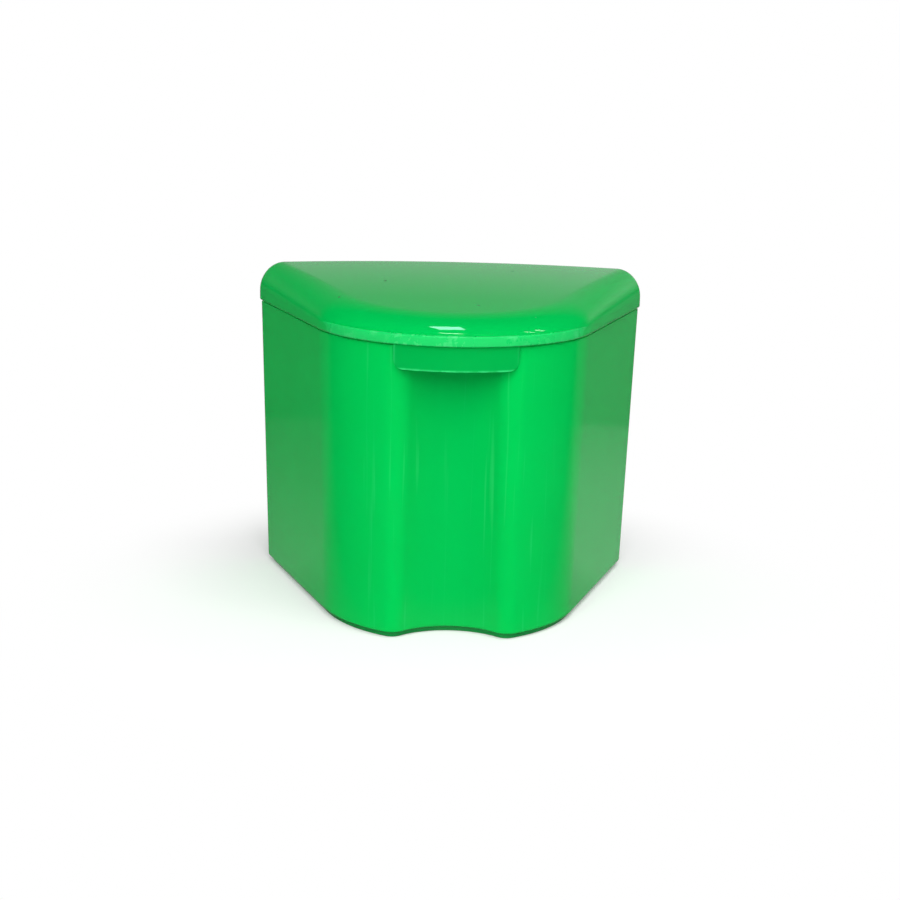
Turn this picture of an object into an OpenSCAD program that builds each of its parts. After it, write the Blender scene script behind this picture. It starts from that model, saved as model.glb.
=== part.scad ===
// A bedside denture case: a deep D-shaped cup with a finger groove down its nose, a domed lid with a
// thumb tab, a barrel hinge across the flat back and a slotted rinse basket that stands inside.
// Lengths are in millimetres. The outline is drawn with the back of the rim on y = 0 and the seam on
// z = 0, and placed() then moves the whole case so that it stands on z = 0, centred on the origin.

/* [Outline] */
// Width of the cup across its rear corners, at the rim
case_w = 90; // [84:1:100]
// Depth of the cup from the flat back to the nose, at the rim
case_d = 65; // [62:1:72]
// Radius of the nose arc
nose_r = 31.5; // [29:0.5:34]
// Radius of the two rear corners
corner_r = 4; // [3:0.5:6]

/* [Cup] */
// Height of the cup from the bottom edge of its wall to the seam
cup_h = 63.6; // [56:0.2:80]
// How far the wall leans in from the rim to the bottom
draft = 1.6; // [0.8:0.1:2]
// Thickness of the wall
wall = 2; // [1.6:0.1:2.4]
// Thickness of the floor
floor_t = 2.2; // [1.6:0.1:3]
// Height of the foot ring under the floor
foot_h = 1.3; // [0.6:0.1:2]
// How far the foot ring stands in from the bottom edge
foot_in = 1.2; // [0.8:0.1:1.6]

/* [Finger groove] */
// Depth of the groove down the nose
groove_depth = 7.8; // [5:0.2:9]
// Radius of the hollow of the groove
groove_r = 13.4; // [11:0.2:15]
// Radius of the two lobes that blend the groove into the nose
lobe_r = 5.6; // [4.8:0.1:6.4]

/* [Lid] */
// Height that the top would have at the very back edge, over the seam
lid_h = 10; // [9:0.2:14]
// Drop of the lid's top from the back to the nose
lid_fall = 5; // [3:0.2:6]
// How far the top curves down towards the two sides
lid_crown = 1; // [0:0.1:1.6]
// How far the top bulges between the back and the nose
lid_dome = 0.8; // [0:0.1:1.2]
// Reach of the rounded edge in from the lid's side, at the back
edge_r = 5.2; // [4.4:0.2:8]
// Thickness of the lid's top
lid_t = 1.8; // [1.4:0.1:2.2]
// How far the lid stands out over the cup
lid_over = 0.4; // [0.2:0.1:0.8]
// How far the lip along the nose stands out over the cup
lip_over = 1; // [0.8:0.1:1.4]
// Height of the lip
lip_h = 2.2; // [1.6:0.1:2.6]
// Width of the thumb tab
tab_w = 26; // [18:1:30]
// Drop of the thumb tab below the seam
tab_h = 5.3; // [4:0.1:8]

/* [Hinge] */
// Distance of the hinge axis behind the cup
hinge_y = 3.2; // [3.1:0.1:4]
// Outer radius of the knuckles
knuckle_r = 2.5; // [2.2:0.1:2.5]
// Radius of the hinge pin
pin_r = 1; // [0.8:0.1:1.2]
// Length of the whole hinge
hinge_w = 46.4; // [36:0.4:56]

/* [Basket] */
// Height of the basket's wall
basket_h = 35; // [25:1:42]
// Thickness of the basket's wall and floor
basket_t = 1.4; // [1.2:0.1:1.8]
// Width of the drain slots
slot_w = 2.6; // [2:0.1:3]
// Width of the lifting plate
grip_w = 28; // [24:1:34]

/* [Hidden] */
$fn = 96;

green = "#0ac455";
white = "#e9efe9";

// Seats and play between the pieces
skirt_gap = 0.2;      // play between the lid's skirt and the rim of the cup
skirt_t = 1;          // thickness of the skirt
skirt_h = 3;          // reach of the skirt below the seam
rim_t = 1.2;          // thickness of the thinned rim that the skirt slips into
rim_h = 4;            // height of the thinned rim
seam_step = 0.4;      // shadow step round the outside of the rim
ledge_h = 0.5;        // slope under the thinned rim
pin_play = 0.05;      // radial play of the pin in the lid's knuckle
pin_grip = 0.02;      // radial interference of the pin in the cup's knuckles
knuckle_gap = 0.4;    // gap between neighbouring knuckles
basket_gap = 0.8;     // play between the basket and the cup

// Smaller rounds
sharp_r = 0.3;        // least radius left where an inset eats up a rounded corner
bottom_r = 0.8;       // round along the cup's bottom edge
floor_r = 1.2;        // round between the cup's wall and floor
foot_t = 2;           // width of the foot ring
lid_side_back = 2.4;  // height at which the lid's edge starts to round, at the back
lid_side_nose = 0.8;  // the same at the nose
edge_spread = 0.55;   // share by which the rounded edge's reach grows on the way to the nose
tab_over = 0.3;       // how far the tab stands out over the nose, just proud of the wall beside it
tab_t = 1.6;          // thickness of the tab in the middle of the groove
tab_r = 2;            // round of the tab's lower corners
tab_gap = 0.15;       // gap between the tab and the lobes
pocket_h = 2;         // height of the finger pocket above the seam
lip_t = 1.5;          // depth of the lip ring from its outer face
lip_soft = 0.3;       // bevel along the lip's edges
lip_shift = 1.2;      // how far the lip's centre lies in front of the nose's, which tapers its ends
lip_half = 66;        // half of the angle that the lip covers

// Hinge
hinge_z = -0.4;
ear_w = 8;            // width of each knuckle on the cup
ear_top = -1.4;       // where the web of the cup's knuckles starts on the wall, clear of the lid
ear_low = -10;        // where that web runs out down the wall
ear_a = -28;          // direction, seen from the axis, in which that web leaves the knuckle
strap_low = 0.3;      // underside of the web that joins the lid's knuckle to the lid
strap_top = 3.6;      // upper side of that web
strap_y = 1.2;        // how far its upper side runs out behind the cup
strap_a = 37;         // direction, seen from the axis, in which that web leaves the knuckle
bore_over = 1;        // how far a cutting shape runs past the faces it cuts
pin_bevel = 0.3;

// Basket
basket_foot = 2;      // height of the four feet that keep the basket off the floor
basket_foot_r = 1.6;
slot_pitch = 6;       // spacing of the slots in the floor
slot_margin = 3;      // solid border round the floor slots
wall_pitch = 7.5;     // spacing of the slots in the straight walls
back_slots = 4;       // slots in the back wall on each side of the middle one
side_first = 4;       // first and last slot of a slanted side, from where the nose arc ends
side_last = 32;
nose_first = 10;      // first and last slot of the nose, in degrees below the side wall's direction
nose_last = 40;
nose_step = 15;
feet_back = [4.5, 0.2];   // rear feet, in slot pitches from the middle and case depths from the back
feet_nose = [1.5, 0.74];  // front feet, given in the same way
slot_low = 6;         // solid stretch of wall under the wall slots
slot_high = 8;        // solid stretch of wall over the wall slots
bead = 0.5;           // rolled edge along the basket's rim
bead_h = 1.4;
grip_t = 2;
grip_top = -5.5;      // top of the lifting plate, measured from the seam
grip_r = 6;
grip_edge = 4;        // solid border over the finger hole
grip_side = 6;        // solid border on each side of it
grip_hole_h = 8;

// Points per arc of the outline, so that every ring has the same number of points
corner_steps = 6;
nose_steps = 14;
lobe_steps = 8;
groove_steps = 8;
round_steps = 8;
bend_steps = 3;
lid_bend_steps = 5;
back_steps = 4;       // straight stretches have points too, because the lid's top is crowned
flank_steps = 3;
crown_steps = [0.25, 0.5, 0.75];
middle = 0.43;        // where the closing fans meet, in case depths from the back

// Where the arcs of the outline have their centres
nose_c = [0, nose_r - case_d];
groove_c = [0, groove_depth - groove_r - case_d];
corner_dx = case_w/2 - corner_r;
corner_dy = -corner_r - nose_c[1];
// Direction in which the slanted side wall faces
side_a = atan2(corner_dy, corner_dx)
    - acos((nose_r - corner_r)/norm([corner_dx, corner_dy]));
side_n = [cos(side_a), sin(side_a)];
side_k = side_n*nose_c + nose_r;

// Places that follow from the sizes above
rim_z = cup_h + foot_h;
front_y = -(case_d + lip_over);
back_y = hinge_y + knuckle_r;
mid_y = (front_y + back_y)/2;
cap_c = [0, -middle*case_d];
floor_z = floor_t - cup_h;
basket_z = floor_z + basket_foot;
basket_top = basket_z + basket_h;
skirt_out = rim_t + skirt_gap;
skirt_in = skirt_out + skirt_t;
ear_x = hinge_w/2 - ear_w;

// Inset of the cup's outer wall at height z
function lean(z) = -draft*z/cup_h;

function arc(c, r, a0, a1, steps, from = 0) =
    [for (k = [from:steps]) let (a = a0 + (a1 - a0)*k/steps) c + r*[cos(a), sin(a)]];

// Centre of a rear corner's arc when the outline is inset by i and the arc keeps radius q
function corner_c(i, q) =
    let (y = -(i + q))
    [(side_k - i - q - side_n[1]*y)/side_n[0], y];

// Centre of a lobe of radius q that touches the nose arc and the groove, both inset by i
function lobe_c(i, q) =
    let (a = nose_r - i - q, b = groove_r + i + q, s = nose_c[1] - groove_c[1])
    let (drop = (a*a - b*b + s*s)/(2*s))
    [sqrt(a*a - drop*drop), nose_c[1] - drop];

// Right half of the outline from the back to the middle of the nose, inset by i all round
function half_outline(i, grooved) =
    let (
        cq = max(corner_r - i, sharp_r),
        lq = max(lobe_r - i, sharp_r),
        lc = lobe_c(i, lq),
        split = atan2(lc[1] - nose_c[1], lc[0]),
        rear = arc(corner_c(i, cq), cq, 90, side_a, corner_steps),
        side = arc(nose_c, nose_r - i, side_a, split, nose_steps)
    )
    concat(
        [for (k = [0:back_steps - 1]) [rear[0][0]*k/back_steps, -i]],
        rear,
        [for (k = [1:flank_steps - 1])
            rear[corner_steps] + (side[0] - rear[corner_steps])*k/flank_steps],
        side, grooved
        ? concat(
            arc(lc, lq, split, atan2(groove_c[1] - lc[1], -lc[0]), lobe_steps, 1),
            arc(groove_c, groove_r + i, atan2(lc[1] - groove_c[1], lc[0]), 90, groove_steps, 1))
        : arc(nose_c, nose_r - i, split, -90, lobe_steps + groove_steps, 1));

// The whole outline, mirrored about the middle
function outline(i, grooved = true) =
    let (half = half_outline(i, grooved))
    concat(half, [for (k = [len(half) - 2:-1:1]) [-half[k][0], half[k][1]]]);

// A level ring of the outline
function ring(i, z, grooved = true) = [for (p = outline(i, grooved)) [p[0], p[1], z]];

// A level ring of the cup's wall at height z, where i is the depth behind its outer face
function wall_ring(i, z) = ring(i + lean(z), z);

// Height of the lid's top, and the height at which its side starts to round over
function lid_top(p) =
    let (t = -p[1]/case_d)
    lid_h - lid_fall*t + 4*lid_dome*t*(1 - t) - lid_crown*pow(2*p[0]/case_w, 2);
function lid_side(p) = lid_side_back + (lid_side_back - lid_side_nose)*p[1]/case_d;

// The plan of the rounded edge, for an angle from 0 at the side to 90 where it meets the top
function edge_plan(i, reach, a, grooved) =
    let (low = outline(i, grooved), high = outline(i + reach, grooved))
    [for (k = [0:len(low) - 1])
        low[k] + (high[k] - low[k])*(1 - cos(a))*(1 - edge_spread*low[k][1]/case_d)];

// A ring of the lid's skin on the rounded edge, where t is the depth behind the outer skin
function lid_ring(i, reach, a, t, grooved) =
    [for (p = edge_plan(i, reach, a, grooved))
        let (side = lid_side(p)) [p[0], p[1], side + (lid_top(p) - t - side)*sin(a)]];

// The lid's top drawn in towards the middle by the factor s
function crown_ring(i, reach, s, t, grooved) =
    [for (q = edge_plan(i, reach, 90, grooved))
        let (p = cap_c + s*(q - cap_c)) [p[0], p[1], lid_top(p) - t]];

// A closed solid from rings with the same number of points, each end closed by a fan. The first fan
// faces up, and the rings run outwards from it, down the outside and on to the last fan
module skin(rings, first, last) {
    n = len(rings[0]);
    m = len(rings);
    sides = [for (j = [0:m - 2]) for (k = [0:n - 1])
        let (a = j*n + k, b = j*n + (k + 1)%n)
        each [[a, a + n, b], [b, a + n, b + n]]];
    ends = [for (k = [0:n - 1])
        let (q = (k + 1)%n)
        each [[m*n, k, q], [m*n + 1, (m - 1)*n + q, (m - 1)*n + k]]];
    polyhedron(points = [for (r = rings) each r, first, last], faces = concat(sides, ends));
}

module placed() {
    translate([0, -mid_y, rim_z])
        children();
}

// A barrel on the hinge axis from x0 over the width w, with the profile that joins it to its piece
module knuckle(x0, w, web) {
    translate([x0, 0, 0])
        rotate([90, 0, 90])
            linear_extrude(w) {
                translate([hinge_y, hinge_z])
                    circle(knuckle_r);
                polygon(web);
            }
}

module hinge_bore(r, x0, w) {
    translate([x0 - bore_over, hinge_y, hinge_z])
        rotate([0, 90, 0])
            cylinder(r = r, h = w + 2*bore_over);
}

// A slot with round ends, standing up along z and cutting along x
module wall_slot(depth) {
    h = basket_h - slot_low - slot_high;
    r = slot_w/2;
    rotate([90, 0, 90])
        linear_extrude(depth, center = true) {
            translate([-r, r])
                square([slot_w, h - slot_w]);
            translate([0, r])
                circle(r);
            translate([0, h - r])
                circle(r);
        }
}

// The deep D-shaped cup: leaning walls, a groove down the nose, a thinned rim and a foot ring
module cup_shell() {
    base = -cup_h;
    foot = lean(base) + foot_in;
    inner_low = floor_z + floor_r;
    rings = concat(
        [for (k = [bend_steps:-1:0])
            let (a = 90*k/bend_steps)
            wall_ring(wall + floor_r*(1 - cos(a)), inner_low - floor_r*sin(a))],
        [wall_ring(wall, -rim_h - ledge_h), wall_ring(rim_t, -rim_h)],
        [wall_ring(rim_t, 0), wall_ring(seam_step, 0)],
        [wall_ring(seam_step, -seam_step), wall_ring(0, -seam_step)],
        [for (k = [bend_steps:-1:0])
            let (a = 90*k/bend_steps)
            wall_ring(bottom_r*(1 - sin(a)), base + bottom_r*(1 - cos(a)))],
        [ring(foot, base), ring(foot, base - foot_h)],
        [ring(foot + foot_t, base - foot_h), ring(foot + foot_t, base)]
    );
    skin(rings, [cap_c[0], cap_c[1], floor_z], [cap_c[0], cap_c[1], base]);
}

// A point on the outside of the knuckles, in the direction a from the hinge axis
function on_knuckle(a) = [hinge_y, hinge_z] + knuckle_r*[cos(a), sin(a)];

module cup() {
    web = [[-wall/2, ear_top], [-wall/2, ear_low], [0, ear_low], on_knuckle(ear_a), [hinge_y, 0]];
    color(green)
        placed()
            difference() {
                union() {
                    cup_shell();
                    for (x = [-hinge_w/2, ear_x])
                        knuckle(x, ear_w, web);
                }
                for (x = [-hinge_w/2, ear_x])
                    hinge_bore(pin_r - pin_grip, x, ear_w);
            }
}

// The lid's moulded skin: a sloping crowned top, a rounded edge and a skirt that follows the groove
module lid_shell() {
    out = -lid_over;
    inner_reach = edge_r - wall;
    rings = concat(
        [for (s = crown_steps) crown_ring(out, edge_r, s, 0, false)],
        [for (k = [round_steps:-1:0]) lid_ring(out, edge_r, 90*k/round_steps, 0, false)],
        [ring(out, 0, false), ring(skirt_out, 0), ring(skirt_out, -skirt_h + skirt_gap)],
        [ring(skirt_out + skirt_gap, -skirt_h), ring(skirt_in, -skirt_h)],
        [for (k = [0:lid_bend_steps])
            lid_ring(skirt_in, inner_reach, 90*k/lid_bend_steps, lid_t, true)],
        [for (k = [len(crown_steps) - 1:-1:0])
            crown_ring(skirt_in, inner_reach, crown_steps[k], lid_t, true)]
    );
    top = lid_top(cap_c);
    skin(rings, [cap_c[0], cap_c[1], top], [cap_c[0], cap_c[1], top - lid_t]);
}

// The lip along the nose, a ring whose centre lies forward so that its two ends die away
module lip() {
    r = nose_r + lip_over - lip_shift;
    translate([0, nose_c[1] - lip_shift, 0])
        rotate([0, 0, -90 - lip_half])
            rotate_extrude(angle = 2*lip_half)
                polygon([[r - lip_t, 0], [r - lip_soft, 0], [r, lip_soft],
                    [r, lip_h - lip_soft], [r - lip_soft, lip_h], [r - lip_t, lip_h]]);
}

// The thumb tab: a curved leaf that hangs from the lid in front of the groove, clear of the lobes
module tab() {
    intersection() {
        translate([0, 0, -tab_h])
            linear_extrude(tab_h + lip_h/2)
                difference() {
                    translate(nose_c)
                        circle(nose_r + tab_over);
                    translate(nose_c)
                        circle(nose_r + tab_over - tab_t);
                    polygon(outline(-tab_gap));
                }
        translate([0, groove_c[1], 0])
            rotate([90, 0, 0])
                linear_extrude(case_d, center = true)
                    translate([-tab_w/2, -tab_h]) {
                        translate([tab_r, 0])
                            square([tab_w - 2*tab_r, tab_h + lip_h]);
                        translate([0, tab_r])
                            square([tab_w, tab_h + lip_h - tab_r]);
                        for (x = [tab_r, tab_w - tab_r])
                            translate([x, tab_r])
                                circle(tab_r);
                    }
    }
}

// The pocket behind the tab, where the fingertip lifts the lid
module finger_pocket() {
    translate([0, 0, -bore_over])
        linear_extrude(pocket_h + bore_over)
            difference() {
                translate(nose_c)
                    circle(nose_r + tab_over - tab_t - lip_soft);
                polygon(outline(skirt_gap));
            }
}

module lid() {
    w = 2*(ear_x - knuckle_gap);
    web = [[-wall/2, strap_low], [-wall/2, strap_top], [strap_y, strap_top], on_knuckle(strap_a),
        [hinge_y, hinge_z]];
    color(green)
        placed()
            difference() {
                union() {
                    lid_shell();
                    lip();
                    tab();
                    knuckle(-w/2, w, web);
                }
                finger_pocket();
                hinge_bore(pin_r + pin_play, -w/2, w);
            }
}

module hinge_pin() {
    color("#c9ccce")
        placed()
            translate([-hinge_w/2, hinge_y, hinge_z])
                rotate([0, 90, 0]) {
                    cylinder(r1 = pin_r - pin_bevel, r2 = pin_r, h = pin_bevel);
                    translate([0, 0, pin_bevel])
                        cylinder(r = pin_r, h = hinge_w - 2*pin_bevel);
                    translate([0, 0, hinge_w - pin_bevel])
                        cylinder(r1 = pin_r, r2 = pin_r - pin_bevel, h = pin_bevel);
                }
}

// The basket's wall and floor, following the inside of the cup
module basket_shell() {
    out = wall + basket_gap;
    inner = out + basket_t;
    rings = concat(
        [for (k = [bend_steps:-1:0])
            let (a = 90*k/bend_steps)
            wall_ring(inner + floor_r*(1 - cos(a)), basket_z + basket_t + floor_r*(1 - sin(a)))],
        [wall_ring(inner, basket_top - bead/2), wall_ring(inner - bead/2, basket_top)],
        [wall_ring(out, basket_top), wall_ring(out - bead, basket_top - bead)],
        [wall_ring(out - bead, basket_top - bead_h), wall_ring(out, basket_top - bead_h - bead)],
        [for (k = [bend_steps:-1:0])
            let (a = 90*k/bend_steps)
            wall_ring(out + floor_r*(1 - sin(a)), basket_z + floor_r*(1 - cos(a)))]
    );
    skin(rings, [cap_c[0], cap_c[1], basket_z + basket_t], [cap_c[0], cap_c[1], basket_z]);
}

// Long slots through the basket's floor, cut off where the solid border starts
module floor_slots() {
    inner = wall + basket_gap + basket_t + lean(basket_z) + slot_margin;
    rows = floor((case_w/2 - inner)/slot_pitch) - 1;
    translate([0, 0, basket_z - bore_over])
        linear_extrude(basket_t + 2*bore_over)
            intersection() {
                polygon(outline(inner));
                for (k = [-rows:rows])
                    translate([k*slot_pitch - slot_w/2, -case_d])
                        square([slot_w, case_d]);
            }
}

// Upright slots in the back, in the two slanted sides and round the nose
module wall_slots() {
    i = wall + basket_gap + basket_t/2 + lean(basket_z + basket_h/2);
    depth = 3*basket_t;
    z = basket_z + slot_low;
    for (k = [-back_slots:back_slots])
        translate([k*wall_pitch, -i, z])
            rotate([0, 0, 90])
                wall_slot(depth);
    for (m = [0, 1])
        mirror([m, 0, 0]) {
            for (s = [side_first:wall_pitch:side_last])
                translate([each (nose_c + (nose_r - i)*side_n + s*[-side_n[1], side_n[0]]), z])
                    rotate([0, 0, side_a])
                        wall_slot(depth);
            for (a = [side_a - nose_first:-nose_step:side_a - nose_last])
                translate([each (nose_c + (nose_r - i)*[cos(a), sin(a)]), z])
                    rotate([0, 0, a])
                        wall_slot(depth);
        }
}

// The upright plate on the basket's back wall, with a round-ended hole for the fingers
module grip() {
    low = basket_top - bead_h;
    h = grip_top - low;
    hole_w = grip_w - 2*grip_side;
    hole_h = grip_hole_h;
    y = wall + basket_gap + lean(basket_top);
    translate([0, -y, low])
        rotate([90, 0, 0])
            linear_extrude(grip_t)
                difference() {
                    union() {
                        translate([-grip_w/2, 0])
                            square([grip_w, h - grip_r]);
                        translate([grip_r - grip_w/2, 0])
                            square([grip_w - 2*grip_r, h]);
                        for (x = [-1, 1])
                            translate([x*(grip_w/2 - grip_r), h - grip_r])
                                circle(grip_r);
                    }
                    translate([(hole_h - hole_w)/2, h - grip_edge - hole_h])
                        square([hole_w - hole_h, hole_h]);
                    for (x = [-1, 1])
                        translate([x*(hole_w - hole_h)/2, h - grip_edge - hole_h/2])
                            circle(hole_h/2);
                }
}

module basket() {
    color(white)
        placed() {
            difference() {
                basket_shell();
                floor_slots();
                wall_slots();
            }
            grip();
            for (p = [feet_back, feet_nose])
                for (side = [-1, 1])
                    translate([side*p[0]*slot_pitch, -p[1]*case_d, floor_z])
                        cylinder(r = basket_foot_r, h = basket_foot + basket_t/2);
        }
}

cup();
lid();
hinge_pin();
basket();
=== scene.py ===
import math
import bmesh
import bpy
from mathutils import Matrix, Vector


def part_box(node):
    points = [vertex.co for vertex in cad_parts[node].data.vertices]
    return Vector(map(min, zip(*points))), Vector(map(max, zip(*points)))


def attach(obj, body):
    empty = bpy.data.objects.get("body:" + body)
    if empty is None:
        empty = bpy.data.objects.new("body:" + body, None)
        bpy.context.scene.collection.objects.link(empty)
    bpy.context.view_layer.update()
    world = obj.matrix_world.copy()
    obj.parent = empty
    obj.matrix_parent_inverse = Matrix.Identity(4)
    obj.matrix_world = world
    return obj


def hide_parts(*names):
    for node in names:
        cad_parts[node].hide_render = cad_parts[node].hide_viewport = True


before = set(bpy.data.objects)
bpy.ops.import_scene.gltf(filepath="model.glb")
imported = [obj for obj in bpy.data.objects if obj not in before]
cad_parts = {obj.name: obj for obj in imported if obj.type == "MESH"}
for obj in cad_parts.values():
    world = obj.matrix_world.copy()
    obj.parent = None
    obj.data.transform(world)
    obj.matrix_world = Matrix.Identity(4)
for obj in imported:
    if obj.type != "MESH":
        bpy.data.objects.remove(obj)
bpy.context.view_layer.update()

# Cup: the deep D-shaped vessel that the denture soaks in, moulded in one shot of green polypropylene.
# Its walls lean in by the mould's draft, a finger groove runs down the nose, the rim is thinned inside
# for the lid's skirt, and a low foot ring keeps the floor off the shelf.
mm = 0.001
case_w = 90*mm             # over the sides at the rim
case_d = 65*mm             # from the flat back to the nose
nose_r = 31.5*mm
corner_r = 4*mm            # the upright corners at the back
groove_depth = 7.8*mm
groove_r = 13.4*mm
lobe_r = 5.6*mm            # the two lobes beside the groove
sharp_r = 0.3*mm           # the least radius that an inset arc keeps
cup_h = 63.6*mm            # from the base to the seam under the lid
draft = 1.6*mm             # how far the walls have leant in at the base
wall = 2*mm
floor_t = 2.2*mm
floor_hold = 6*mm          # how far in from the wall the floor's shading is held level
floor_r = 1.4*mm           # where wall and floor meet inside
base_r = 0.8*mm            # where they meet outside
rim_t = 1.2*mm             # the rim's wall, thinned inside
rim_h = 4*mm               # over this height
rim_r = 0.22*mm
ledge_h = 0.5*mm           # the slope from the thinned wall to the full one
ledge_r = 0.3*mm
seam_step = 0.4*mm         # the shadow step round the rim's outside
step_r = 0.15*mm
step_hollow_r = 0.08*mm
foot_h = 1.3*mm            # the foot ring
foot_in = 1.2*mm           # how far it stands in from the base's edge
foot_t = 2*mm
foot_r = 0.25*mm
hinge_y = 3.2*mm           # the pin's axis, from the flat back
hinge_z = -0.4*mm          # and from the seam
knuckle_r = 2.5*mm
knuckle_round = 0.25*mm
bore_bevel = 0.15*mm
hinge_w = 46.4*mm          # over all three knuckles
ear_w = 8*mm               # each of the cup's two
pin_r = 1*mm
back_steps = 12            # how finely each stretch of the outline is drawn
corner_steps = 12
side_steps = 14
nose_steps = 28
lobe_steps = 16
groove_steps = 20
knuckle_steps = 240
weld = 0.002*mm            # points closer than this are one
rim_z = cup_h + foot_h
wall_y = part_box("cup")[1].y - hinge_y - knuckle_r   # the flat back at the rim
nose_c = Vector((0, nose_r - case_d))
groove_c = Vector((0, groove_depth - groove_r - case_d))
centre = Vector((0, -0.43*case_d))                  # where floor and top close

# Each slanted side touches a corner's arc and the nose's: the angle of its normal, and its distance.
corner_x = case_w/2 - corner_r
corner_y = -corner_r - nose_c.y
side_a = math.atan2(corner_y, corner_x) - math.acos((nose_r - corner_r)/math.hypot(corner_x, corner_y))
side_n = Vector((math.cos(side_a), math.sin(side_a)))
side_k = side_n.dot(nose_c) + nose_r


def arc(c, r, a0, a1, steps):
    """Points on an arc round c, from angle a0 to a1 in radians."""
    angles = [a0 + (a1 - a0)*k/steps for k in range(steps + 1)]
    return [Vector((c[0] + r*math.cos(a), c[1] + r*math.sin(a))) for a in angles]


def straight(a, b, steps, hold=0.4*mm):
    """Points between a and b, not counting them, with one close to each end to hold the shading."""
    length = (b - a).length
    places = [hold/length] + [k/steps for k in range(1, steps)] + [1 - hold/length]
    return [a.lerp(b, t) for t in places]


def half_outline(inset, grooved):
    """Right half of the case's outline, inset all round, from the middle of the back to the nose.
    The lobe's arc touches the nose's from inside and the groove's from outside. With or without the
    groove the half has the same number of points."""
    corner_now = max(corner_r - inset, sharp_r)
    lobe_now = max(lobe_r - inset, sharp_r)
    nose_now = nose_r - inset
    back_y = -(inset + corner_now)
    corner = Vector(((side_k - inset - corner_now - side_n.y*back_y)/side_n.x, back_y))
    from_nose = nose_now - lobe_now
    from_groove = groove_r + inset + lobe_now
    apart = nose_c.y - groove_c.y
    drop = (from_nose**2 - from_groove**2 + apart**2)/(2*apart)
    lobe = Vector((math.sqrt(from_nose**2 - drop**2), nose_c.y - drop))
    split = math.atan2(lobe.y - nose_c.y, lobe.x)
    rear = arc(corner, corner_now, math.pi/2, side_a, corner_steps)
    side = arc(nose_c, nose_now, side_a, split, nose_steps)
    back = Vector((0, -inset))
    points = [back] + straight(back, rear[0], back_steps) + rear
    points += straight(rear[-1], side[0], side_steps) + side
    if grooved:
        points += arc(lobe, lobe_now, split, math.atan2(groove_c.y - lobe.y, -lobe.x), lobe_steps)[1:]
        turn = math.atan2(lobe.y - groove_c.y, lobe.x)
        points += arc(groove_c, groove_r + inset, turn, math.pi/2, groove_steps)[1:]
    else:
        points += arc(nose_c, nose_now, split, -math.pi/2, lobe_steps + groove_steps)[1:]
    return points


def outline(inset, grooved=True):
    """The whole outline, from the middle of the back round by the right side and the nose."""
    half = half_outline(inset, grooved)
    return half + [Vector((-p.x, p.y)) for p in half[-2:0:-1]]


def placed(x, y, z):
    """A point given from the back of the rim and the seam, in the frame."""
    return (x, wall_y + y, rim_z + z)


def level_ring(inset, z, grooved=True):
    """A level ring of the outline at height z over the seam."""
    return [placed(p.x, p.y, z) for p in outline(inset, grooved)]


def eased(corners, steps=4, hold=0.5*mm):
    """A profile of (depth, height, radius) corners as points, with each corner rounded and held.
    A corner of radius 0 is kept as it is. If none has it, the profile is taken as closed."""
    share = 0.49            # of each side, at most, goes to the rounding at either end
    points = []
    for k, (d, z, r) in enumerate(corners):
        here = Vector((d, z))
        if r == 0:
            points.append(here)
            continue
        before = Vector(corners[k - 1][:2]) - here
        after = Vector(corners[(k + 1) % len(corners)][:2]) - here
        reach = min(r/math.tan(before.angle(after)/2), share*before.length, share*after.length)
        before_n, after_n = before.normalized(), after.normalized()
        room = 4*reach + 4*hold
        if before.length > room:
            points.append(here + before_n*(reach + hold))
        start, end = here + before_n*reach, here + after_n*reach
        for j in range(steps + 1):
            t = j/steps
            points.append(start*(1 - t)**2 + here*2*t*(1 - t) + end*t**2)
        if after.length > room:
            points.append(here + after_n*(reach + hold))
    return points


def finished(name, mesh, sharp=50):
    """Welds, turns all faces outwards and shades smooth, with edges above the angle kept sharp."""
    bm = bmesh.new()
    bm.from_mesh(mesh)
    bmesh.ops.remove_doubles(bm, verts=bm.verts, dist=weld)
    bmesh.ops.recalc_face_normals(bm, faces=bm.faces)
    bm.to_mesh(mesh)
    bm.free()
    mesh.shade_smooth()
    mesh.set_sharp_from_angle(angle=math.radians(sharp))
    piece = bpy.data.objects.new(name, mesh)
    bpy.context.scene.collection.objects.link(piece)
    return piece


def lofted(name, rings, first=None, last=None):
    """A mesh through rings of equal length. first and last close its ends; without them it wraps round."""
    n, m = len(rings[0]), len(rings)
    verts = [v for ring in rings for v in ring]
    spans = range(m if first is None else m - 1)
    faces = [(j*n + k, j*n + (k + 1) % n, (j + 1) % m*n + (k + 1) % n, (j + 1) % m*n + k)
             for j in spans for k in range(n)]
    if first is not None:
        verts += [first, last]
        faces += [(m*n, (k + 1) % n, k) for k in range(n)]
        faces += [(m*n + 1, (m - 1)*n + k, (m - 1)*n + (k + 1) % n) for k in range(n)]
    mesh = bpy.data.meshes.new(name)
    mesh.from_pydata(verts, [], faces)
    return finished(name, mesh)


def lean(z):
    """How far the outer wall has leant in at height z under the seam."""
    return -draft*z/cup_h


def cup_wall():
    """The cup in one skin: floor, inner wall, rim, outer wall, base and foot ring."""
    low = -cup_h
    floor_z = low + floor_t
    foot = draft + foot_in
    inner = eased([(wall + floor_hold, floor_z, 0), (wall, floor_z, floor_r),
                   (wall, -rim_h - ledge_h, ledge_r), (rim_t, -rim_h, ledge_r), (rim_t, 0, rim_r),
                   (seam_step, 0, step_r), (seam_step, -seam_step, step_hollow_r),
                   (0, -seam_step, step_r), (0, low, base_r), (foot_in, low, 0)])
    under = eased([(foot, low, 0), (foot, low - foot_h, foot_r), (foot + foot_t, low - foot_h, foot_r),
                   (foot + foot_t, low, 0)])
    rings = [level_ring(p.x + lean(p.y), p.y) for p in inner] + [level_ring(p.x, p.y) for p in under]
    return lofted("cup_shell", rings, placed(0, centre.y, floor_z), placed(0, centre.y, low))


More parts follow.
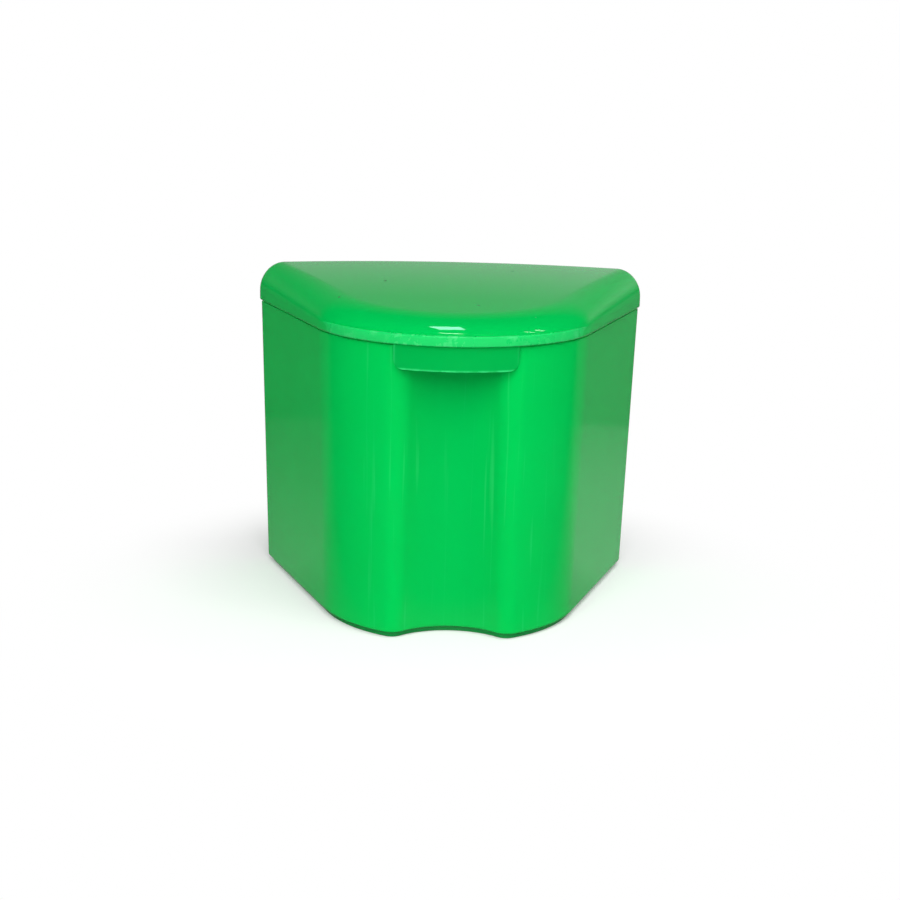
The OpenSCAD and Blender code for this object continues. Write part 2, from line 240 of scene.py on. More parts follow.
def knuckle(name, x0, x1, web, bore_r):
    """A hinge barrel with its web, a bore through it and eased ends. web is a convex outline in (y, z)."""
    axis = Vector((hinge_y, hinge_z))
    edges = []
    for k, p in enumerate(web):
        q = web[(k + 1) % len(web)]
        normal = Vector((q[1] - p[1], p[0] - q[0])).normalized()
        edges.append((normal, normal.dot(Vector(p) - axis)))
    corners = [math.atan2(p[1] - axis.y, p[0] - axis.x) % (2*math.pi) for p in web]
    angles = sorted([2*math.pi*k/knuckle_steps for k in range(knuckle_steps)] + corners)
    level = 1e-6            # an edge turned less than this towards a direction isn't met by it
    reach = []
    for a in angles:
        towards = Vector((math.cos(a), math.sin(a)))
        exits = [gap/normal.dot(towards) for normal, gap in edges if normal.dot(towards) > level]
        reach.append(max(knuckle_r, min(exits)))

    def ring(x, radii, grow=0):
        return [placed(x, axis.x + (r + grow)*math.cos(a), axis.y + (r + grow)*math.sin(a))
                for r, a in zip(radii, angles)]

    soft = knuckle_round
    rounding = [(0, -soft), (0.3*soft, -0.3*soft), (soft, 0)]       # from the end, and outwards
    outer = [ring(x0 + off, reach, grow) for off, grow in rounding]
    outer += [ring(x1 - off, reach, grow) for off, grow in reversed(rounding)]
    bore = [bore_r]*len(angles)
    inner = [ring(x1, bore, bore_bevel), ring(x1 - bore_bevel, bore),
             ring(x0 + bore_bevel, bore), ring(x0, bore, bore_bevel)]
    return lofted(name, outer + inner)


# The web of each ear, as depth behind the flat back and height over the seam: from the wall to the barrel.
ear_web = [(-wall/2, -1.4*mm), (-wall/2, -10*mm), (0, -10*mm),
           (hinge_y + 2.2*mm, hinge_z - 1.2*mm), (hinge_y, 0)]
cup_pieces = [cup_wall()]
for name, x in (("cup_ear_left", -hinge_w/2), ("cup_ear_right", hinge_w/2 - ear_w)):
    cup_pieces.append(knuckle(name, x, x + ear_w, ear_web, pin_r))


def linear(code):
    """An sRGB hex colour as linear light with full alpha."""
    parts = [int(code[k:k + 2], 16)/255 for k in (1, 3, 5)]
    return [c/12.92 if c <= 0.04045 else ((c + 0.055)/1.055)**2.4 for c in parts] + [1]


def cleared(holder):
    """The node tree of a new material or world, emptied."""
    holder.use_nodes = True
    holder.node_tree.nodes.clear()
    return holder.node_tree


def add(tree, kind, inputs=None, **settings):
    """Adds a node with its settings. Each named or numbered input is given a value, a socket to link,
    or a node, whose first output in use is linked."""
    made = tree.nodes.new(kind)
    for key, value in settings.items():
        setattr(made, key, value)
    for key, value in (inputs or {}).items():
        if isinstance(value, bpy.types.Node):
            value = next(socket for socket in value.outputs if socket.enabled)
        if isinstance(value, bpy.types.NodeSocket):
            tree.links.new(value, made.inputs[key])
        else:
            made.inputs[key].default_value = value
    return made


def moulded_polypropylene(name, light, deep, gloss, ripple=0.06):
    """Glossy injection-moulded polypropylene: light passes a little way into it, so shaded hollows
    keep some colour. Flow clouds shift the colour slightly, handling marks change the gloss, and a
    skin of fine ripples breaks the reflections."""
    cloud_size = 25*mm
    mark_size = 9*mm
    ripple_size = 1.2*mm
    ripple_h = 0.05*mm
    material = bpy.data.materials.new(name)
    tree = cleared(material)
    place = add(tree, "ShaderNodeTexCoord").outputs["Object"]
    cloud = add(tree, "ShaderNodeTexNoise", {"Vector": place, "Scale": 1/cloud_size, "Detail": 2.0})
    tint = add(tree, "ShaderNodeMix", {"Factor": cloud, "A": linear(light), "B": linear(deep)},
               data_type="RGBA")
    marks = add(tree, "ShaderNodeTexNoise", {"Vector": place, "Scale": 1/mark_size, "Detail": 5.0,
                                             "Roughness": 0.65})
    roughness = add(tree, "ShaderNodeMapRange", {"Value": marks, "From Min": 0.3, "From Max": 0.75,
                                                 "To Min": gloss, "To Max": gloss + 0.06})
    skin = add(tree, "ShaderNodeTexNoise", {"Vector": place, "Scale": 1/ripple_size, "Detail": 3.0})
    bump = add(tree, "ShaderNodeBump", {"Height": skin, "Strength": ripple, "Distance": ripple_h})
    shader = add(tree, "ShaderNodeBsdfPrincipled", {
        "Base Color": tint, "Roughness": roughness, "Normal": bump, "IOR": 1.49,
        "Subsurface Weight": 0.1, "Subsurface Radius": (0.3, 1.0, 0.5), "Subsurface Scale": 2.5*mm})
    add(tree, "ShaderNodeOutputMaterial", {"Surface": shader})
    return material


def laid_over(material, colour, roughness, *covers):
    """Lays another colour and roughness over a material, as far as the covers, multiplied, say."""
    tree = material.node_tree
    cover = covers[0]
    for other in covers[1:]:
        cover = add(tree, "ShaderNodeMath", {0: cover, 1: other}, operation="MULTIPLY")
    shader = tree.nodes["Principled BSDF"]
    for socket, over, kind in (("Base Color", linear(colour), "RGBA"), ("Roughness", roughness, "FLOAT")):
        under = shader.inputs[socket].links[0].from_socket
        mix = add(tree, "ShaderNodeMix", {"Factor": cover, "A": under, "B": over}, data_type=kind)
        tree.links.new(mix.outputs["Result"], shader.inputs[socket])


green_cup = moulded_polypropylene("polypropylene_green_moulded", "#00CE59", "#00C552", 0.05)

# Groove: painted shade. The hollow between the lobes, which gets less light than the lobes beside it,
# is painted a little darker.
tree = green_cup.node_tree
place = add(tree, "ShaderNodeTexCoord").outputs["Object"]
across, along, height = add(tree, "ShaderNodeSeparateXYZ", {"Vector": place}).outputs
beside = add(tree, "ShaderNodeMath", {0: across}, operation="ABSOLUTE")
groove_painted_shade = add(tree, "ShaderNodeMapRange", {"Value": beside, "From Min": 4*mm, "From Max": 12*mm,
                                           "To Min": 1.0, "To Max": 0.0})
front = add(tree, "ShaderNodeMapRange", {"Value": along, "From Min": -20*mm, "From Max": -25*mm})
# painted shade in the groove
laid_over(green_cup, "#00C153", 0.05, groove_painted_shade, front)

# Rubbed lines: a thumb sliding up the nose leaves fine upright lines. They are drawn up to 0.4 mm wide,
# wider than they are, so that they show.
rub_gap = 0.9*mm
rub_stretch = (1.0, 0.3, 0.03)
drawn = add(tree, "ShaderNodeMapping", {"Vector": place, "Scale": rub_stretch})
rubbed = add(tree, "ShaderNodeTexNoise", {"Vector": drawn, "Scale": 1/rub_gap, "Detail": 1.0})
lines = add(tree, "ShaderNodeMapRange", {"Value": rubbed, "From Min": 0.63, "From Max": 0.78,
                                         "To Max": 0.24})
nose = add(tree, "ShaderNodeMapRange", {"Value": along, "From Min": -24*mm, "From Max": -30*mm})
laid_over(green_cup, "#46E088", 0.12, lines, nose)

# Foot line: painted shade. The foot ring is painted dark and made dull where it lies in the shade under
# the wall, so it shows as a dark strip under the nose, in the gap over the shelf.
painted_shade_cover = add(tree, "ShaderNodeMapRange", {"Value": height, "From Min": foot_h + 0.1*mm,
                                        "From Max": foot_h - 0.1*mm, "To Max": 0.8})
# painted shade on the foot ring
laid_over(green_cup, "#0B9044", 0.4, painted_shade_cover)

# Rim: painted light. The step round its outside, where the rim is only 0.8 mm thick, is painted a lighter
# green, so that the seam stays green where its shade would otherwise look black.
step_z = rim_z - seam_step
painted_step_light = add(tree, "ShaderNodeMapRange", {"Value": height, "From Min": step_z - 0.12*mm,
                                        "From Max": step_z - 0.02*mm, "To Max": 0.7})
# painted light in the seam step
laid_over(green_cup, "#14E272", 0.3, painted_step_light)

for piece in cup_pieces:
    piece.data.materials.append(green_cup)
    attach(piece, "cup")
    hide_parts("cup")

# Lid: a thin crowned shell of the same green polypropylene, whose top falls from the hinge to the nose.
# Along the nose its edge is thickened into a lip, and a curved tab hangs from the lip in front of the
# groove. A skirt inside slips into the thinned rim of the cup.
lid_h = 10*mm              # at the flat back
lid_fall = 5*mm            # how much lower it is at the nose
lid_crown = 1*mm
lid_dome = 0.8*mm
lid_side_back = 2.4*mm     # the upright side below the rounded edge
lid_side_nose = 0.8*mm
lid_t = 1.8*mm
lid_over = 0.4*mm          # how far the lid stands out over the cup
edge_r = 5.2*mm            # the rounded edge's reach at the back
edge_spread = 0.55         # and how much further it reaches in at the nose
edge_steps = 30
top_rings = 24
under_r = 0.3*mm           # the lid's lower edge
skirt_out = rim_t + 0.2*mm
skirt_in = skirt_out + 1*mm
skirt_h = 3*mm
skirt_lead = 0.25*mm       # the outer bevel that leads the skirt in
skirt_bevel = 0.15*mm
lip_over = 1*mm
lip_h = 2.2*mm
lip_t = 1.5*mm
lip_low_r = 0.35*mm
lip_top_r = 0.3*mm
lip_back_r = 0.1*mm
lip_shift = 1.2*mm         # how far the lip's centre lies ahead of the nose's
lip_half = math.radians(66)
lip_steps = 120
tab_w = 26*mm
tab_h = 5.3*mm
tab_over = 0.3*mm
tab_t = 1.6*mm
tab_r = 2*mm
tab_gap = 0.15*mm
hinge_gap = 0.4*mm
pin_play = 0.05*mm


def lid_top(p):
    """Height of the lid's top: it falls to the nose, is domed along its depth and crowned across."""
    t = -p.y/case_d
    return lid_h - lid_fall*t + 4*lid_dome*t*(1 - t) - lid_crown*(2*p.x/case_w)**2


def lid_side(p):
    """Height of the lid's upright side, which gets lower towards the nose."""
    return lid_side_back + (lid_side_back - lid_side_nose)*p.y/case_d


def edge_plan(inset, reach, a, grooved):
    """The plan of the rounded edge. Outside its reach grows towards the nose, inside it stays even, so
    that the lobes don't fold over."""
    share = 1 - math.cos(a)
    spread = 0 if grooved else edge_spread
    return [p + (q - p)*share*(1 - spread*p.y/case_d)
            for p, q in zip(outline(inset, grooved), outline(inset + reach, grooved))]


def edge_ring(inset, reach, a, t, grooved):
    """A ring of the lid's rounded edge, its top t under the outside: a runs from 0 at the side to 90
    degrees at the top."""
    points = edge_plan(inset, reach, a, grooved)
    return [placed(p.x, p.y, lid_side(p) + (lid_top(p) - t - lid_side(p))*math.sin(a)) for p in points]


def crown_ring(inset, reach, s, t, grooved):
    """A ring of the lid's top, t under the outside, drawn in towards the middle by the factor s."""
    points = [centre + s*(q - centre) for q in edge_plan(inset, reach, math.pi/2, grooved)]
    return [placed(p.x, p.y, lid_top(p) - t) for p in points]


def lid_shell():
    """The lid in one skin: top, rounded edge, side, skirt, rounded edge inside and ceiling."""
    out, reach = -lid_over, edge_r - wall
    hold = 0.8*mm           # where the upright sides' shading is held, from their lower edge
    turn = [math.pi/2*k/edge_steps for k in range(edge_steps + 1)]
    shrink = [k/(top_rings + 1) for k in range(1, top_rings + 1)]
    rings = [crown_ring(out, edge_r, s, 0, False) for s in shrink]
    rings += [edge_ring(out, edge_r, a, 0, False) for a in reversed(turn)]
    rings += [level_ring(d, z, False) for d, z in
              [(out, hold), (out, under_r), (out + 0.3*under_r, 0.3*under_r), (out + under_r, 0)]]
    rings += [level_ring(d, z) for d, z in
              [(skirt_out, 0), (skirt_out, -skirt_h + hold), (skirt_out, -skirt_h + skirt_lead),
               (skirt_out + skirt_lead, -skirt_h), (skirt_in - skirt_bevel, -skirt_h),
               (skirt_in, -skirt_h + skirt_bevel), (skirt_in, -skirt_h + hold)]]
    inner_turn = turn[::3]  # inside, the rounded edge is drawn more coarsely
    rings += [edge_ring(skirt_in, reach, a, lid_t, True) for a in inner_turn]
    rings += [crown_ring(skirt_in, reach, s, lid_t, True) for s in reversed(shrink)]
    top = lid_top(centre)
    return lofted("lid_shell", rings, placed(0, centre.y, top), placed(0, centre.y, top - lid_t))


def swept_lip():
    """The lip's rounded profile, swept round a centre that lies a little ahead of the nose's."""
    r = nose_r + lip_over - lip_shift
    c = Vector((0, nose_c.y - lip_shift))
    low = 0.03*mm       # a hair above the shell's underside, so that the two faces don't coincide
    profile = eased([(r - lip_t, low, lip_back_r), (r, low, lip_low_r), (r, lip_h, lip_top_r),
                     (r - lip_t, lip_h, lip_back_r)])
    rings = []
    for k in range(lip_steps + 1):
        a = -math.pi/2 - lip_half + 2*lip_half*k/lip_steps
        rings.append([placed(c.x + p.x*math.cos(a), c.y + p.x*math.sin(a), p.y) for p in profile])
    ends = [tuple(sum(v[k] for v in ring)/len(ring) for k in range(3)) for ring in (rings[0], rings[-1])]
    return lofted("lid_lip", rings, *ends)


def curved_tab():
    """The tab as a grid bent round the nose, its lower corners rounded, thickened and eased all round."""
    columns, rows = 60, 14
    crowding = 0.35         # how much closer the columns stand towards the tab's sides
    least_t = 0.2*mm
    margin = 2*mm
    half = tab_w/2
    high = lip_h/2
    out = nose_r + tab_over
    inner = out - tab_t
    near = [p for p in outline(-tab_gap) if p.y < nose_c.y and abs(p.x) < half + margin]
    near.sort(key=lambda p: p.x)

    def behind(x):
        """How far back the tab's inner face lies at x: on its own arc, or clear of the cup's lobes."""
        own = nose_c.y - math.sqrt(inner**2 - x*x)
        for p, q in zip(near, near[1:]):
            if p.x <= x <= q.x and q.x > p.x:
                return min(own, p.y + (q.y - p.y)*(x - p.x)/(q.x - p.x))
        return own

    bm = bmesh.new()
    front, rear = [], []
    for grid in (front, rear):
        for i in range(columns + 1):
            x = half*((2*i/columns - 1)*(1 - crowding) - math.cos(math.pi*i/columns)*crowding)
            past = max(0, abs(x) - (half - tab_r))
            low = -tab_h + tab_r - math.sqrt(max(0, tab_r**2 - past**2))
            y = nose_c.y - math.sqrt(out**2 - x*x)
            if grid is rear:
                y = max(behind(x), y + least_t)
            grid.append([bm.verts.new(placed(x, y, low + (high - low)*j/rows)) for j in range(rows + 1)])
        for i in range(columns):
            for j in range(rows):
                bm.faces.new((grid[i][j], grid[i + 1][j], grid[i + 1][j + 1], grid[i][j + 1]))
    rim = [(i, 0) for i in range(columns)] + [(columns, j) for j in range(rows)]
    rim += [(i, rows) for i in range(columns, 0, -1)] + [(0, j) for j in range(rows, 0, -1)]
    for (i, j), (p, q) in zip(rim, rim[1:] + rim[:1]):
        bm.faces.new((front[i][j], front[p][q], rear[p][q], rear[i][j]))
    mesh = bpy.data.meshes.new("lid_tab")
    bm.to_mesh(mesh)
    bm.free()
    tab = finished("lid_tab", mesh, 60)
    ease = tab.modifiers.new("ease", "BEVEL")
    ease.width = 0.18*mm
    ease.segments = 3
    ease.limit_method = "ANGLE"
    ease.angle_limit = math.radians(50)
    return tab


# The web of the lid's knuckle, given as an ear's is: from the lid's side down to the barrel.
lid_web = [(-wall/2, 0.3*mm), (hinge_y, hinge_z - 0.2*mm), (hinge_y + 2*mm, hinge_z + 1.5*mm),
           (1.2*mm, 3.6*mm), (-wall/2, 3.6*mm)]
lid_barrel = hinge_w/2 - ear_w - hinge_gap
lid_pieces = [lid_shell(), swept_lip(), curved_tab(),
              knuckle("lid_knuckle", -lid_barrel, lid_barrel, lid_web, pin_r + pin_play)]
green_lid = moulded_polypropylene("polypropylene_green_dusty_painted_shade", "#00CB59", "#00C352", 0.03, 0.008)

# Painted shade and dust: the faces that look up are painted a little darker and duller as shade, and dust
# lies as darker specks of up to 0.6 mm on the top, few and in patches.
speck_gap = 4.5*mm
patch_size = 7*mm
tree = green_lid.node_tree
coordinates = add(tree, "ShaderNodeTexCoord")
place = coordinates.outputs["Object"]
upward = add(tree, "ShaderNodeSeparateXYZ", {"Vector": coordinates.outputs["Normal"]}).outputs["Z"]
painted_shade_cover = add(tree, "ShaderNodeMapRange", {"Value": upward, "From Min": 0.2, "From Max": 0.9})
# painted shade on the faces that look up
laid_over(green_lid, "#00BA50", 0.05, painted_shade_cover)
grit = add(tree, "ShaderNodeTexVoronoi", {"Vector": place, "Scale": 1/speck_gap, "Randomness": 1.0})
patches = add(tree, "ShaderNodeTexNoise", {"Vector": place, "Scale": 1/patch_size, "Detail": 0.0})
limit = add(tree, "ShaderNodeMapRange", {"Value": patches, "From Min": 0.42, "From Max": 0.66,
                                         "To Max": 0.08})
speck = add(tree, "ShaderNodeMath", {0: grit, 1: limit}, operation="LESS_THAN")
level_top = add(tree, "ShaderNodeMapRange", {"Value": upward, "From Min": 0.85, "From Max": 0.95})
laid_over(green_lid, "#2E7A45", 0.8, speck, level_top)

# Lip: painted light. The thin edge is painted lighter than the lid, standing in for light that it passes
# on. Nails have whitened it in patches, and towards its ends the painted light dies away into the lid's
# side.
patch_noise_size = 2.5*mm
# painted light: the lip's lighter green
green_lip_painted_light = moulded_polypropylene("polypropylene_green_lip_painted_light", "#1CDC6E", "#10D264", 0.25)
tree = green_lip_painted_light.node_tree
place = add(tree, "ShaderNodeTexCoord").outputs["Object"]
patch_noise = add(tree, "ShaderNodeTexNoise", {"Vector": place, "Scale": 1/patch_noise_size, "Detail": 6.0,
                                        "Roughness": 0.7})
whitened = add(tree, "ShaderNodeMapRange", {"Value": patch_noise, "From Min": 0.52, "From Max": 0.7,
                                            "To Max": 0.5})
laid_over(green_lip_painted_light, "#6BEB9C", 0.45, whitened)
along = add(tree, "ShaderNodeSeparateXYZ", {"Vector": place}).outputs["Y"]
ends = add(tree, "ShaderNodeMapRange", {"Value": along, "From Min": -22*mm, "From Max": -15*mm})
laid_over(green_lip_painted_light, "#00C354", 0.06, ends)

# Tab: painted shade and painted highlights. The leaf is painted darker than the cup, as shade under the
# lip, and its thin edges are painted lighter as highlights, most of all the lower one, unevenly, and the
# left one.
edge_from = 0.5*mm         # how far in from the tab's outline its light edge begins
edge_full = 0.15*mm        # and where it is lightest
tab_painted_shade_and_light = moulded_polypropylene("polypropylene_green_tab_painted_shade", "#00B34D", "#00AC48", 0.05)
tree = tab_painted_shade_and_light.node_tree
coordinates = add(tree, "ShaderNodeTexCoord")
place = coordinates.outputs["Object"]
across, _, height = add(tree, "ShaderNodeSeparateXYZ", {"Vector": place}).outputs
upward = add(tree, "ShaderNodeSeparateXYZ", {"Vector": coordinates.outputs["Normal"]}).outputs["Z"]
beside = add(tree, "ShaderNodeMath", {0: across}, operation="ABSOLUTE")
sides = add(tree, "ShaderNodeMapRange", {"Value": beside, "From Min": tab_w/2 - edge_from,
                                         "From Max": tab_w/2 - edge_full})
left_more = add(tree, "ShaderNodeMapRange", {"Value": across, "From Min": -5*mm, "From Max": 5*mm,
                                             "To Min": 0.3, "To Max": 0.08})
painted_side_highlight = add(tree, "ShaderNodeMath", {0: sides, 1: left_more}, operation="MULTIPLY")
patch_noise = add(tree, "ShaderNodeTexNoise", {"Vector": place, "Scale": 1/patch_noise_size, "Detail": 3.0})
uneven = add(tree, "ShaderNodeMapRange", {"Value": patch_noise, "From Min": 0.4, "From Max": 0.6,
                                          "To Min": 0.25, "To Max": 0.7})
not_under = add(tree, "ShaderNodeMapRange", {"Value": upward, "From Min": -0.995, "From Max": -0.95})
uneven_low_highlight = add(tree, "ShaderNodeMath", {0: uneven, 1: not_under}, operation="MULTIPLY")
low_z = rim_z - tab_h
low = add(tree, "ShaderNodeMapRange", {"Value": height, "From Min": low_z + edge_from,
                                       "From Max": low_z + edge_full})
painted_low_highlight = add(tree, "ShaderNodeMath", {0: low, 1: uneven_low_highlight}, operation="MULTIPLY")
painted_edge_highlights = add(tree, "ShaderNodeMath", {0: painted_side_highlight, 1: painted_low_highlight}, operation="MAXIMUM")
# painted highlights on the tab's edges
laid_over(tab_painted_shade_and_light, "#3FEE8E", 0.2, painted_edge_highlights)

for piece in lid_pieces:
    piece.data.materials.append({"lid_lip": green_lip_painted_light, "lid_tab": tab_painted_shade_and_light}.get(piece.name, green_lid))
    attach(piece, "lid")
    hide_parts("lid")

# Hinge pin: a straight stainless wire pin, drawn to size and cut with a bevel at each end, pressed into
# the cup's two ears. Its CAD shape is kept. Drawing leaves lines along it that dull it to a satin sheen;
# they are drawn 0.15 mm apart, coarser than they are, so that they show.
line_gap = 0.15*mm
line_stretch = 0.02
steel = bpy.data.materials.new("stainless_steel_drawn")
tree = cleared(steel)
place = add(tree, "ShaderNodeTexCoord").outputs["Object"]
lengthwise = add(tree, "ShaderNodeMapping", {"Vector": place, "Scale": (line_stretch, 1.0, 1.0)})
lines = add(tree, "ShaderNodeTexNoise", {"Vector": lengthwise, "Scale": 1/line_gap, "Detail": 3.0})
sheen = add(tree, "ShaderNodeMapRange", {"Value": lines, "To Min": 0.22, "To Max": 0.42})
shade = add(tree, "ShaderNodeMix", {"Factor": lines, "A": linear("#B9BBBD"), "B": linear("#D2D4D5")},
            data_type="RGBA")
shader = add(tree, "ShaderNodeBsdfPrincipled", {"Base Color": shade, "Roughness": sheen,
                                                "Metallic": 1.0})
add(tree, "ShaderNodeOutputMaterial", {"Surface": shader})


def refinished(name, material):
    """Gives a CAD node its own material in place of the plain one."""
    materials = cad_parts[name].data.materials
    materials.clear()
    materials.append(material)


refinished("hinge_pin", steel)

# Basket: the slotted rinse basket that lifts the denture out of its bath, moulded in undyed
# polypropylene, milky and a little softer in gloss than the cup. Its CAD shape is kept.
milky = moulded_polypropylene("polypropylene_undyed_moulded", "#EEF1EA", "#E4E9E0", 0.28)
refinished("basket", milky)

# Floor: a plain pale sheet of matt paper under the case. It keeps the case's shadow near the case, and
# shows as white further out, as the backdrop does. The case's walls mirror it brighter on the right and
# behind than in front, and darker past its end.
floor_w = 6.0
white_from = 0.05          # distances from the middle of the case
white_full = 0.1
sheet_end = 0.2            # as the walls mirror it
end_blur = 0.004
front_slant = 0.53         # how much further back the dark front lies, per unit to either side
floor_mesh = bpy.data.meshes.new("floor")
half = floor_w/2
floor_mesh.from_pydata([(-half, -half, 0), (half, -half, 0), (half, half, 0), (-half, half, 0)], [],
                       [(0, 1, 2, 3)])
floor = bpy.data.objects.new("floor", floor_mesh)
bpy.context.scene.collection.objects.link(floor)


def ray_kinds(tree):
    """Whether a ray comes straight from the eye or through clear plastic, and whether it is mirrored."""
    path = add(tree, "ShaderNodeLightPath").outputs
    direct = add(tree, "ShaderNodeMath", {0: path["Is Camera Ray"], 1: path["Is Transmission Ray"]},
                 operation="MAXIMUM")
    return direct, path["Is Glossy Ray"]


paper = bpy.data.materials.new("paper_pale_matt")
tree = cleared(paper)
place = add(tree, "ShaderNodeTexCoord").outputs["Object"]
across, along, _ = add(tree, "ShaderNodeSeparateXYZ", {"Vector": place}).outputs
distance = add(tree, "ShaderNodeVectorMath", {0: place}, operation="LENGTH").outputs["Value"]
matt = add(tree, "ShaderNodeBsdfDiffuse", {"Color": linear("#E8E8E8")})
lift = add(tree, "ShaderNodeEmission", {"Strength": 0.25})
lifted = add(tree, "ShaderNodeAddShader", {0: matt, 1: lift})
white = add(tree, "ShaderNodeEmission", {"Strength": 1.0})
far = add(tree, "ShaderNodeMapRange", {"Value": distance, "From Min": white_from, "From Max": white_full},
          interpolation_type="SMOOTHSTEP")
sheet = add(tree, "ShaderNodeMixShader", {"Fac": far, 1: lifted, 2: white})
fading = add(tree, "ShaderNodeMapRange", {"Value": distance, "From Min": white_from,
                                          "From Max": sheet_end - end_blur, "To Min": 0.32, "To Max": 0.16})
ending = add(tree, "ShaderNodeMapRange", {"Value": distance, "From Min": sheet_end - end_blur,
                                          "From Max": sheet_end + end_blur, "To Min": 1.0, "To Max": 0.63})
beside = add(tree, "ShaderNodeMath", {0: across}, operation="ABSOLUTE")
aslant = add(tree, "ShaderNodeMath", {0: beside, 1: -front_slant, 2: along}, operation="MULTIPLY_ADD")
behind = add(tree, "ShaderNodeMapRange", {"Value": aslant, "From Min": -0.048, "From Max": -0.006,
                                          "To Min": 0.1, "To Max": 1.0})
right_more = add(tree, "ShaderNodeMapRange", {"Value": across, "From Min": -0.1, "From Max": 0.1,
                                              "To Min": 0.7, "To Max": 1.45})
outwards = add(tree, "ShaderNodeMath", {0: fading, 1: ending}, operation="MULTIPLY")
round_case = add(tree, "ShaderNodeMath", {0: behind, 1: right_more}, operation="MULTIPLY")
strength = add(tree, "ShaderNodeMath", {0: outwards, 1: round_case}, operation="MULTIPLY")
mirrored = add(tree, "ShaderNodeEmission", {"Strength": strength})
direct, glossy = ray_kinds(tree)
indirect = add(tree, "ShaderNodeMixShader", {"Fac": glossy, 1: matt, 2: mirrored})
seen = add(tree, "ShaderNodeMixShader", {"Fac": direct, 1: indirect, 2: sheet})
add(tree, "ShaderNodeOutputMaterial", {"Surface": seen})
floor_mesh.materials.append(paper)

# Light: a soft even studio light from the front and above and a weak fill low on the right. Seen only in
# reflections, a small bright panel, two bars and two small lamps give the little window on the lid's front
# edge, the thin lines under it and the two glints beside it.
room_dark = 0.05
ambient_level = 0.2
world = bpy.data.worlds.new("studio")
bpy.context.scene.world = world
tree = cleared(world)

# What the case mirrors of the room is dark in front and at the sides and light behind the case, most of
# all a little over the horizon and on the right.
towards = add(tree, "ShaderNodeTexCoord").outputs["Generated"]
across, ahead, upward = add(tree, "ShaderNodeSeparateXYZ", {"Vector": towards}).outputs
low = add(tree, "ShaderNodeMapRange", {"Value": upward, "From Min": 0.15, "From Max": 0.33,
                                       "To Min": 0.5, "To Max": 0.25})
behind = add(tree, "ShaderNodeMapRange", {"Value": ahead, "From Min": 0.6, "From Max": 0.95,
                                          "To Min": room_dark, "To Max": 1.0})
horizon = add(tree, "ShaderNodeMapRange", {"Value": upward, "From Min": 0.0, "From Max": 0.15,
                                           "To Min": 0.15, "To Max": 1.0})
straight_on = add(tree, "ShaderNodeMapRange", {"Value": ahead, "From Min": 0.85, "From Max": 0.95})
rise = add(tree, "ShaderNodeMath", {0: horizon, 1: straight_on}, operation="MAXIMUM")
right_more = add(tree, "ShaderNodeMapRange", {"Value": across, "From Min": -0.5, "From Max": 0.5,
                                              "To Min": 0.55, "To Max": 1.5})
upwards = add(tree, "ShaderNodeMath", {0: low, 1: rise}, operation="MULTIPLY")
round_case = add(tree, "ShaderNodeMath", {0: behind, 1: right_more}, operation="MULTIPLY")
mirrored = add(tree, "ShaderNodeMath", {0: upwards, 1: round_case}, operation="MULTIPLY")
direct, glossy = ray_kinds(tree)
ambient = add(tree, "ShaderNodeMix", {"Factor": glossy, "A": ambient_level, "B": mirrored},
              data_type="FLOAT")
level = add(tree, "ShaderNodeMath", {0: direct, 1: ambient}, operation="MAXIMUM")
sky = add(tree, "ShaderNodeBackground", {"Color": (1, 1, 1, 1), "Strength": level})
add(tree, "ShaderNodeOutputWorld", {"Surface": sky})


def softbox(name, place, aim, size, watts, mirrored=False, colour=(1, 1, 1)):
    """A rectangular lamp that faces aim. A mirrored one only shows in reflections, the others never."""
    lamp = bpy.data.lights.new(name, "AREA")
    lamp.shape = "RECTANGLE"
    lamp.size, lamp.size_y = size
    lamp.energy = watts
    lamp.color = colour
    holder = bpy.data.objects.new(name, lamp)
    holder.visible_glossy = mirrored
    holder.visible_diffuse = not mirrored
    holder.location = place
    holder.rotation_euler = (Vector(aim) - Vector(place)).to_track_quat("-Z", "Y").to_euler()
    bpy.context.scene.collection.objects.link(holder)


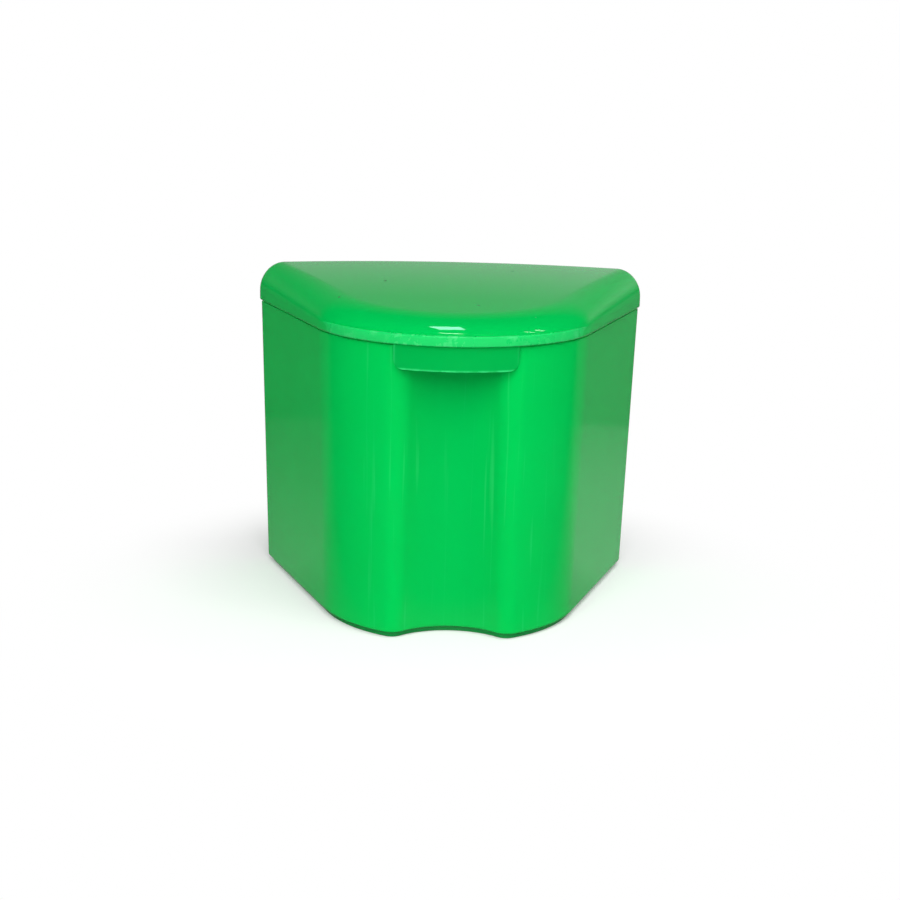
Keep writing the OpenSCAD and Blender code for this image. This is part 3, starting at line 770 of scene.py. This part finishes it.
lid_front = (0, -0.03, 0.07)
mid_cup = (0, 0, 0.04)
low_cup = (0, 0, 0.03)
window_blue = (0.6, 0.85, 1.0)
softbox("window", (-0.025, 0.08, 1.05), lid_front, (0.18, 0.2), watts=1.3, mirrored=True,
        colour=window_blue)
for name, place, size, watts in (("bar_near", (-0.025, -0.33, 1.0), (0.2, 0.05), 0.4),
                                 ("bar_far", (-0.025, -0.66, 0.85), (0.2, 0.07), 0.5),
                                 ("glint_left", (0.82, -0.19, 0.97), (0.02, 0.2), 0.28),
                                 ("glint_right", (0.87, -0.04, 0.91), (0.02, 0.2), 0.28)):
    softbox(name, place, lid_front, size, watts, mirrored=True)
softbox("overhead", (0.26, -0.4, 1.0), mid_cup, (0.6, 0.4), watts=4.0)
softbox("front", (-0.09, -0.82, 0.7), mid_cup, (0.8, 0.8), watts=9.2)
softbox("right", (0.8, 0.2, 0.1), low_cup, (0.4, 0.3), watts=0.35)

# Camera: placed and turned as the photograph's, fitted to the seam, the base and the two side edges.
# It stands in front of the case, a little to the left and above the seam, and looks slightly down.
camera_place = Vector((-10.15*mm, wall_y - 407.7*mm, rim_z + 59.9*mm))
yaw, pitch, roll = (math.radians(a) for a in (-1.55, 13.386, 1.406))
image_w = 900              # the photograph's width in pixels
focal_px = 1700            # the fitted focal length in the same
sensor_w = 36
right = Vector((math.cos(yaw), math.sin(yaw), 0))
ahead = Vector((-math.sin(yaw), math.cos(yaw), 0))
view = ahead*math.cos(pitch) - Vector((0, 0, 1))*math.sin(pitch)
up = ahead*math.sin(pitch) + Vector((0, 0, 1))*math.cos(pitch)
across = right*math.cos(roll) + up*math.sin(roll)
upright = up*math.cos(roll) - right*math.sin(roll)
lens = bpy.data.cameras.new("camera")
lens.sensor_width = sensor_w
lens.lens = sensor_w*focal_px/image_w
lens.clip_start = 0.01
camera = bpy.data.objects.new("camera", lens)
camera.matrix_world = Matrix((across, upright, -view)).transposed().to_4x4()
camera.location = camera_place
bpy.context.scene.collection.objects.link(camera)
bpy.context.scene.camera = camera
bpy.context.scene.view_settings.view_transform = "Standard"
